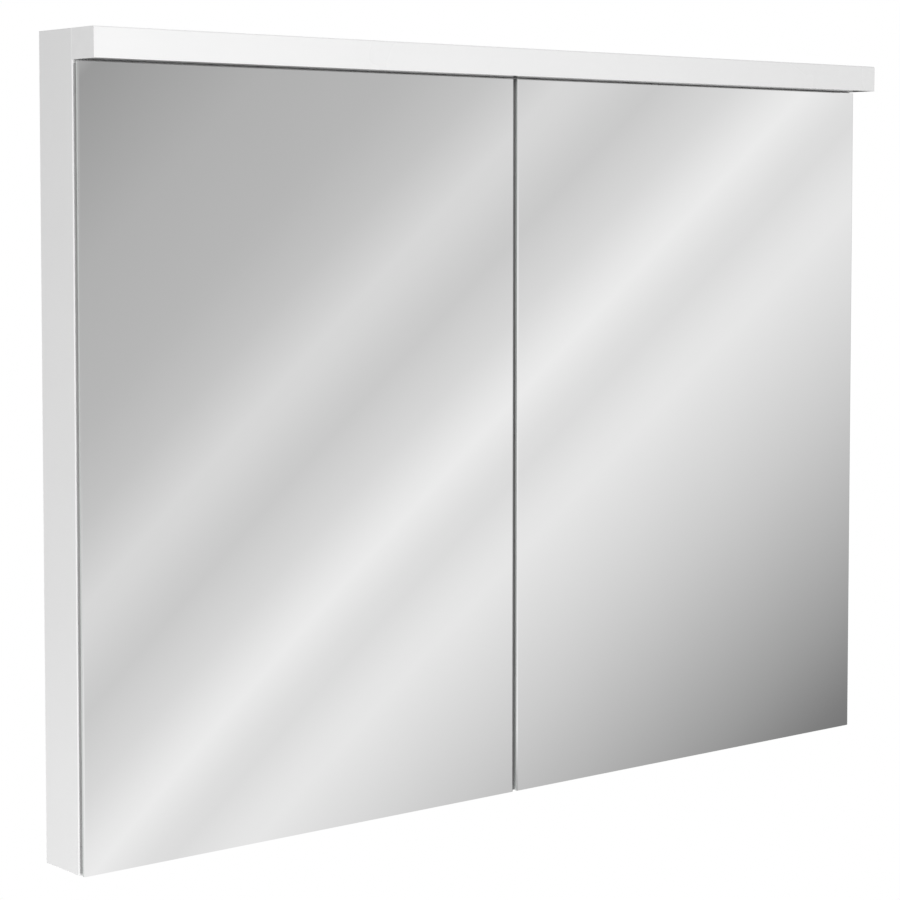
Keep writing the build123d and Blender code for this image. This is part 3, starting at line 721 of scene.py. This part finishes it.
FOAM_SHADE = (0.20, 0.20, 0.20)
FOAM_LIGHT = (0.29, 0.29, 0.29)
FOAM_CELLS = 2400.0

foam = finish(
    "grey_foam", mottled, FOAM_CELLS, FOAM_SHADE, FOAM_LIGHT,
    roughness=(0.75, 0.9), relief=0.00006,
)
dress(foam, "centre_seal")

# Light bar
# An aluminium extrusion, screwed to the carcass's front. Its dark tone is painted shade: it stands
# in for the shadow line under the bar. An opal acrylic cover snaps over it, and a white moulded
# cap plugs each end.

# Painted shade: these dark greys of the bar's base stand in for the shadow under the light bar.
BAR_BASE_PAINTED_SHADE = (0.05, 0.05, 0.052)
BAR_BASE_PAINTED_SHADE_PALE = (0.09, 0.09, 0.092)
ANODISED_LINES = 1800.0
OPAL_SHADE = (0.84, 0.84, 0.84)
OPAL_WHITE = (0.88, 0.88, 0.88)
OPAL_GRAIN = 500.0

# The base is metal with brush lines, and its dark colour is painted shade for the shadow under the
# bar.
bar_base_painted_shade = finish(
    "painted_shade_dark_metal", lines_along_x, ANODISED_LINES, BAR_BASE_PAINTED_SHADE, BAR_BASE_PAINTED_SHADE_PALE,
    roughness=(0.16, 0.24), relief=0.000002, metallic=1.0,
)
opal = finish(
    "opal_acrylic", sprayed, OPAL_GRAIN, OPAL_SHADE, OPAL_WHITE,
    roughness=(0.24, 0.32), relief=0.000002, ior=1.49,
)
dress(bar_base_painted_shade, "light_base")
dress(opal, "opal_cover")
dress(white_plastic, "left_light_end_cap", "right_light_end_cap")

# Light source
# A narrow white circuit board along the bar with yellow phosphor chips in a row, and the pan
# head screws that hold the bar to the rail behind it.

RESIST_SHADE = (0.78, 0.78, 0.77)
RESIST_WHITE = (0.86, 0.86, 0.85)
RESIST_GRAIN = 1500.0
PHOSPHOR_SHADE = (0.72, 0.55, 0.10)
PHOSPHOR_LIGHT = (0.86, 0.70, 0.20)
PHOSPHOR_GRAIN = 2600.0

resist = finish(
    "white_resist", moulded, RESIST_GRAIN, RESIST_SHADE, RESIST_WHITE,
    roughness=(0.3, 0.4), relief=0.000005,
)
phosphor = finish(
    "phosphor", moulded, PHOSPHOR_GRAIN, PHOSPHOR_SHADE, PHOSPHOR_LIGHT,
    roughness=(0.4, 0.5), relief=0.00002,
)
dress(resist, "led_board")
dress(phosphor, "led_chips")
dress(zinc, "light_screws")

# Wiring in the channel
# A grey moulded driver and a terminal block are screwed under the top panel, and white sheathed
# leads run from them to the switch and to the light.

CASING_SHADE = (0.30, 0.31, 0.32)
CASING_GREY = (0.38, 0.39, 0.40)
CASING_GRAIN = 900.0
SHEATH_SHADE = (0.68, 0.68, 0.67)
SHEATH_WHITE = (0.76, 0.76, 0.75)
SHEATH_GRAIN = 1100.0

casing = finish(
    "grey_casing", moulded, CASING_GRAIN, CASING_SHADE, CASING_GREY,
    roughness=(0.45, 0.58), relief=0.00003,
)
sheath = finish(
    "white_sheath", moulded, SHEATH_GRAIN, SHEATH_SHADE, SHEATH_WHITE,
    roughness=(0.4, 0.52), relief=0.00001,
)
dress(casing, "led_driver", "terminal_block")
dress(sheath, "supply_lead", "driver_lead", "led_lead")
dress(zinc, "device_screws")

# Service cover
# A flat steel sheet with a white powder coat closes the wiring channel from below. Twelve pan
# head screws hold it to the rail and the cleat.

COVER_SCREW_HEAD = 0.003
COVER_SCREW_RISE = 0.0016
COVER_SCREW_SHANK = 0.0015
COVER_SCREW_LENGTH = 0.009
COVER_SCREW_SPREAD = (0.038, 0.248, 0.458)  # from the cabinet's middle
POWDER_SHADE = (0.76, 0.76, 0.76)
POWDER_WHITE = (0.82, 0.82, 0.82)
POWDER_PEEL = 900.0

powder_coat = finish(
    "powder_coat", sprayed, POWDER_PEEL, POWDER_SHADE, POWDER_WHITE,
    roughness=(0.4, 0.5), relief=0.00002,
)
dress(powder_coat, "service_cover")

cover_screws = cross_screw(
    "pan_head_screws", COVER_SCREW_HEAD, COVER_SCREW_RISE, COVER_SCREW_SHANK, COVER_SCREW_LENGTH
)
low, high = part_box("cover_screws")
cover_screw_places = [
    ((hand * x, y, low.z + COVER_SCREW_RISE), UPRIGHT)
    for hand in (-1, 1)
    for x in COVER_SCREW_SPREAD
    for y in (low.y + COVER_SCREW_HEAD, high.y - COVER_SCREW_HEAD)
]
set_out(cover_screws, cover_screw_places)
fit(cover_screws, zinc)
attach(cover_screws, "cabinet")
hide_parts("cover_screws")

# Rocker switch
# A small black rocker in a snap-in housing faces down from the cover into the right bay. Both are
# moulded with soft edges, and the rocker turns on a steel pin.

BEZEL_THICKNESS = 0.0015
BEZEL_LEDGE = 0.00175  # how far the bezel stands out past the body behind it
BEZEL_CORNER = 0.0022
BEZEL_ROUND = 0.0006
POCKET_LENGTH = 0.01552
POCKET_WIDTH = 0.0096
POCKET_DEPTH = 0.0067
POCKET_ROUND = 0.0003
PIN_RADIUS = 0.001
PIN_RISE = 0.003  # from the bezel's face to the pin's axis
ROCKER_ROUND = 0.0005
ROCKER_STEPS = 3
SAME_POINT = 0.000001  # corners of the CAD mesh nearer than this are one
FLAT_WITHIN = 1.0  # degrees between triangles that belong to one face
SHARP_ABOVE = 30.0  # degrees between faces, above which their edge is rounded
BLACK_SHADE = (0.014, 0.014, 0.015)
BLACK_LIGHT = (0.028, 0.028, 0.029)
BLACK_GRAIN = 2000.0

black_plastic = finish(
    "black_plastic", moulded, BLACK_GRAIN, BLACK_SHADE, BLACK_LIGHT,
    roughness=(0.34, 0.46), relief=0.00001,
)
dress(zinc, "rocker_pin")

low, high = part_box("switch_housing")
middle = (low + high) / 2
housing = box_piece(
    "moulded_housing",
    (high.x - low.x, high.y - low.y, BEZEL_THICKNESS),
    (middle.x, middle.y, low.z + BEZEL_THICKNESS / 2),
)
round_edges(housing, BEZEL_CORNER, 6, lambda a, b: abs(a.z - b.z) > BEZEL_THICKNESS / 2)
round_edges(housing, BEZEL_ROUND, 3, lambda a, b: max(a.z, b.z) < low.z + BEZEL_THICKNESS / 2)
choose(housing, "FACE", lambda normal: normal.z > SQUARE)
bpy.ops.mesh.inset(thickness=BEZEL_LEDGE)
body_height = high.z - low.z - BEZEL_THICKNESS
bpy.ops.mesh.extrude_region_move(TRANSFORM_OT_translate={"value": (0, 0, body_height)})
bpy.ops.object.mode_set(mode="OBJECT")
pocket = box_piece(
    "pocket", (POCKET_LENGTH, POCKET_WIDTH, 2 * POCKET_DEPTH), (middle.x, middle.y, low.z)
)
join_tool(housing, pocket, "DIFFERENCE")


def on_mouth(point):
    """True for a point on the rim of the pocket's mouth."""
    across = abs(point.x - middle.x) < POCKET_LENGTH / 2 + POCKET_ROUND
    deep = abs(point.y - middle.y) < POCKET_WIDTH / 2 + POCKET_ROUND
    return across and deep and point.z < low.z + POCKET_ROUND


round_edges(housing, POCKET_ROUND, 2, lambda a, b: on_mouth(a) and on_mouth(b))
pin_place = (middle.x, middle.y, low.z + PIN_RISE)
drill = round_piece("drill", PIN_RADIUS, 2 * (high.y - low.y), pin_place, FACING_OUT)
join_tool(housing, drill, "DIFFERENCE")
fit(housing, black_plastic)
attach(housing, "cabinet")
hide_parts("switch_housing")


def softened_copy(name, node, width, steps):
    """A copy of a CAD node's shape whose sharp edges are rounded as a mould rounds them."""
    copy = bpy.data.objects.new(name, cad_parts[node].data.copy())
    bpy.context.scene.collection.objects.link(copy)
    bpy.ops.object.select_all(action="DESELECT")
    copy.select_set(True)
    bpy.context.view_layer.objects.active = copy
    bpy.ops.object.mode_set(mode="EDIT")
    bpy.ops.mesh.select_all(action="SELECT")
    bpy.ops.mesh.remove_doubles(threshold=SAME_POINT)
    bpy.ops.mesh.dissolve_limited(angle_limit=math.radians(FLAT_WITHIN))
    bpy.ops.object.mode_set(mode="OBJECT")
    rounding = copy.modifiers.new("rounded", "BEVEL")
    rounding.width = width
    rounding.segments = steps
    rounding.limit_method = "ANGLE"
    rounding.angle_limit = math.radians(SHARP_ABOVE)
    bpy.ops.object.modifier_apply(modifier=rounding.name)
    return copy


rocker = softened_copy("moulded_rocker", "switch_rocker", ROCKER_ROUND, ROCKER_STEPS)
fit(rocker, black_plastic)
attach(rocker, "rocker")
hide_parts("switch_rocker")

# Floor
# The plain pale floor of the studio, at the depth below the cabinet at which it hangs. It takes
# the cabinet's shadow, is white to the camera beyond it, and hides nothing from below.

FLOOR_DROP = 1.28  # below the cabinet's lowest edge
FLOOR_SIZE = 60.0
SHADOW_REACH = (1.3, 2.2)  # the shadow fades into the white between these distances
SHADOW_VEIL = 0.5  # share of white laid over the floor under the cabinet
FLOOR_COLOUR = (0.8, 0.8, 0.8)
FLOOR_ROUGHNESS = 0.9

bpy.ops.object.select_all(action="DESELECT")
floor_level = cad_box[0].z - FLOOR_DROP
bpy.ops.mesh.primitive_plane_add(size=FLOOR_SIZE, location=(0, 0, floor_level))
floor = bpy.context.object
floor.name = "studio_floor"
bpy.ops.object.transform_apply(location=True, rotation=False, scale=False)


def seen_directly(nodes, links):
    """One where the camera sees a thing straight, in a mirror or through glass, else nothing."""
    path = nodes.new("ShaderNodeLightPath")
    either = nodes.new("ShaderNodeMath")
    either.operation = "MAXIMUM"
    links.new(path.outputs["Is Camera Ray"], either.inputs[0])
    links.new(path.outputs["Is Glossy Ray"], either.inputs[1])
    any_of_three = nodes.new("ShaderNodeMath")
    any_of_three.operation = "MAXIMUM"
    links.new(either.outputs["Value"], any_of_three.inputs[0])
    links.new(path.outputs["Is Transmission Ray"], any_of_three.inputs[1])
    return any_of_three.outputs["Value"]


pale = bpy.data.materials.new("pale_floor")
pale.use_nodes = True
nodes = pale.node_tree.nodes
links = pale.node_tree.links
nodes["Principled BSDF"].inputs["Base Color"].default_value = (*FLOOR_COLOUR, 1)
nodes["Principled BSDF"].inputs["Roughness"].default_value = FLOOR_ROUGHNESS
place = nodes.new("ShaderNodeTexCoord")
flat = nodes.new("ShaderNodeVectorMath")
flat.operation = "MULTIPLY"
flat.inputs[1].default_value = (1, 1, 0)
links.new(place.outputs["Object"], flat.inputs[0])
distance = nodes.new("ShaderNodeVectorMath")
distance.operation = "LENGTH"
links.new(flat.outputs["Vector"], distance.inputs[0])
fade = nodes.new("ShaderNodeMapRange")
fade.interpolation_type = "SMOOTHSTEP"
fade.inputs["From Min"].default_value = SHADOW_REACH[0]
fade.inputs["From Max"].default_value = SHADOW_REACH[1]
fade.inputs["To Min"].default_value = SHADOW_VEIL
links.new(distance.outputs["Value"], fade.inputs["Value"])
shown = nodes.new("ShaderNodeMath")
shown.operation = "MULTIPLY"
links.new(fade.outputs["Result"], shown.inputs[0])
links.new(seen_directly(nodes, links), shown.inputs[1])
white = nodes.new("ShaderNodeEmission")
mixed = nodes.new("ShaderNodeMixShader")
links.new(shown.outputs["Value"], mixed.inputs["Fac"])
links.new(nodes["Principled BSDF"].outputs["BSDF"], mixed.inputs[1])
links.new(white.outputs["Emission"], mixed.inputs[2])
under_side = nodes.new("ShaderNodeNewGeometry")
clear = nodes.new("ShaderNodeBsdfTransparent")
one_way = nodes.new("ShaderNodeMixShader")
links.new(under_side.outputs["Backfacing"], one_way.inputs["Fac"])
links.new(mixed.outputs["Shader"], one_way.inputs[1])
links.new(clear.outputs["BSDF"], one_way.inputs[2])
links.new(one_way.outputs["Shader"], nodes["Material Output"].inputs["Surface"])
floor.data.materials.append(pale)

# Reflection card
# A tall round screen stands about the cabinet, and only its reflection is seen. It is graded in
# slanting bands from pale to dark, so that the mirrors show tone on the white ground.

CARD_RADIUS = 1.5
CARD_HEIGHT = 3.4
CARD_SIDES = 96
CARD_SLANT = 0.626  # turn in radians that a metre of height is worth along the bands
CARD_SPAN = (-3.4, 3.4)  # turn at which the grading starts and ends
CARD_BANDS = (  # turn along the bands, and the grey there
    (-3.4, 0.80),
    (-3.05, 0.42),
    (-2.72, 0.86),
    (-2.35, 0.46),
    (-1.75, 0.86),
    (-1.35, 0.40),
    (-1.0, 0.47),
    (-0.86, 0.53),
    (-0.74, 0.72),
    (-0.5, 0.90),
    (-0.10, 0.86),
    (-0.04, 0.34),
    (0.155, 0.47),
    (0.305, 0.51),
    (0.395, 0.59),
    (0.485, 0.75),
    (0.58, 0.63),
    (0.665, 0.74),
    (0.74, 0.91),
    (0.815, 0.76),
    (0.895, 0.87),
    (1.085, 0.64),
    (1.295, 0.36),
    (1.40, 0.20),
    (1.65, 0.22),
    (1.95, 0.12),
    (2.4, 0.10),
    (2.7, 0.46),
    (2.9, 0.84),
    (3.1, 0.44),
    (3.4, 0.80),
)

bpy.ops.mesh.primitive_cylinder_add(
    vertices=CARD_SIDES,
    radius=CARD_RADIUS,
    depth=CARD_HEIGHT,
    end_fill_type="NOTHING",
    location=(0, 0, floor_level + CARD_HEIGHT / 2),
)
card = bpy.context.object
card.name = "reflection_card"
bpy.ops.object.transform_apply(location=True, rotation=False, scale=False)
bpy.ops.object.shade_smooth()
card.visible_camera = False
card.visible_diffuse = False
card.visible_transmission = False
card.visible_volume_scatter = False
card.visible_shadow = False

graded = bpy.data.materials.new("graded_card")
graded.use_nodes = True
nodes = graded.node_tree.nodes
links = graded.node_tree.links
nodes.remove(nodes["Principled BSDF"])
place = nodes.new("ShaderNodeTexCoord")
parts = nodes.new("ShaderNodeSeparateXYZ")
links.new(place.outputs["Object"], parts.inputs["Vector"])
ahead = nodes.new("ShaderNodeMath")
ahead.operation = "MULTIPLY"
ahead.inputs[1].default_value = -1.0
links.new(parts.outputs["Y"], ahead.inputs[0])
turn = nodes.new("ShaderNodeMath")
turn.operation = "ARCTAN2"
links.new(parts.outputs["X"], turn.inputs[0])
links.new(ahead.outputs["Value"], turn.inputs[1])
slant = nodes.new("ShaderNodeMath")
slant.operation = "MULTIPLY_ADD"
slant.inputs[1].default_value = -CARD_SLANT
links.new(parts.outputs["Z"], slant.inputs[0])
links.new(turn.outputs["Value"], slant.inputs[2])
along = nodes.new("ShaderNodeMapRange")
along.inputs["From Min"].default_value = CARD_SPAN[0]
along.inputs["From Max"].default_value = CARD_SPAN[1]
links.new(slant.outputs["Value"], along.inputs["Value"])
bands = nodes.new("ShaderNodeValToRGB")
stops = bands.color_ramp.elements
ready = len(stops)  # stops that a new ramp already has
for index, (start, level) in enumerate(CARD_BANDS):
    position = (start - CARD_SPAN[0]) / (CARD_SPAN[1] - CARD_SPAN[0])
    stop = stops[index] if index < ready else stops.new(position)
    stop.position = position
    stop.color = (level, level, level, 1)
links.new(along.outputs["Result"], bands.inputs["Fac"])
glow = nodes.new("ShaderNodeEmission")
links.new(bands.outputs["Color"], glow.inputs["Color"])
links.new(glow.outputs["Emission"], nodes["Material Output"].inputs["Surface"])
card.data.materials.append(graded)

# Light and white ground
# Even light from all round, and three broad soft lamps: one ahead on the left, one low beside
# the left panel and one behind. What is seen past the cabinet, or through glass, is plain white.

SKY_LIGHT = 0.48
FRONT_LAMP = ((-1.5, -2.9, 0.7), (-0.1, 0, 0.3), 1.4, 58.0)  # place, aim, size and power
LOW_LAMP = ((-1.3, -0.3, -1.1), (-0.5, 0, -0.3), 0.6, 6.0)
REAR_LAMP = ((1.2, 2.6, 0.9), (0, 0, 0), 1.6, 40.0)

world = bpy.data.worlds.new("white_ground")
world.use_nodes = True
bpy.context.scene.world = world
nodes = world.node_tree.nodes
links = world.node_tree.links
sky = nodes["Background"]
sky.inputs["Color"].default_value = (1, 1, 1, 1)
sky.inputs["Strength"].default_value = SKY_LIGHT
ground = nodes.new("ShaderNodeBackground")
ground.inputs["Color"].default_value = (1, 1, 1, 1)
ground.inputs["Strength"].default_value = 1.0
chosen = nodes.new("ShaderNodeMixShader")
links.new(seen_directly(nodes, links), chosen.inputs["Fac"])
links.new(sky.outputs["Background"], chosen.inputs[1])
links.new(ground.outputs["Background"], chosen.inputs[2])
links.new(chosen.outputs["Shader"], nodes["World Output"].inputs["Surface"])


def soft_lamp(name, place, aim, size, power):
    """A square soft box that lights the cabinet and is not seen in its mirrors."""
    panel = bpy.data.lights.new(name, "AREA")
    panel.size = size
    panel.energy = power
    lamp = bpy.data.objects.new(name, panel)
    bpy.context.scene.collection.objects.link(lamp)
    lamp.location = place
    lamp.rotation_euler = (Vector(aim) - Vector(place)).to_track_quat("-Z", "Y").to_euler()
    lamp.visible_camera = False
    lamp.visible_glossy = False
    lamp.visible_transmission = False


soft_lamp("front_lamp", *FRONT_LAMP)
soft_lamp("low_lamp", *LOW_LAMP)
soft_lamp("rear_lamp", *REAR_LAMP)

# Camera
# It stands ahead on the left, a little above the cabinet's middle, and looks slightly down.

CAMERA_PLACE = (-1.601, -1.908, 0.219)
CAMERA_TURN = 39.42  # degrees to the right of straight ahead
CAMERA_DIP = 3.22  # degrees below the horizon
CAMERA_LENS = 98.48  # millimetres, as its sensor
CAMERA_SENSOR = 36.0
CAMERA_SHIFT = -0.12

camera_data = bpy.data.cameras.new("camera")
camera_data.sensor_width = CAMERA_SENSOR
camera_data.lens = CAMERA_LENS
camera_data.shift_y = CAMERA_SHIFT
camera = bpy.data.objects.new("camera", camera_data)
bpy.context.scene.collection.objects.link(camera)
camera.location = CAMERA_PLACE
camera.rotation_euler = (math.radians(90 - CAMERA_DIP), 0, math.radians(-CAMERA_TURN))
bpy.context.scene.camera = camera
bpy.context.scene.view_settings.view_transform = "Standard"
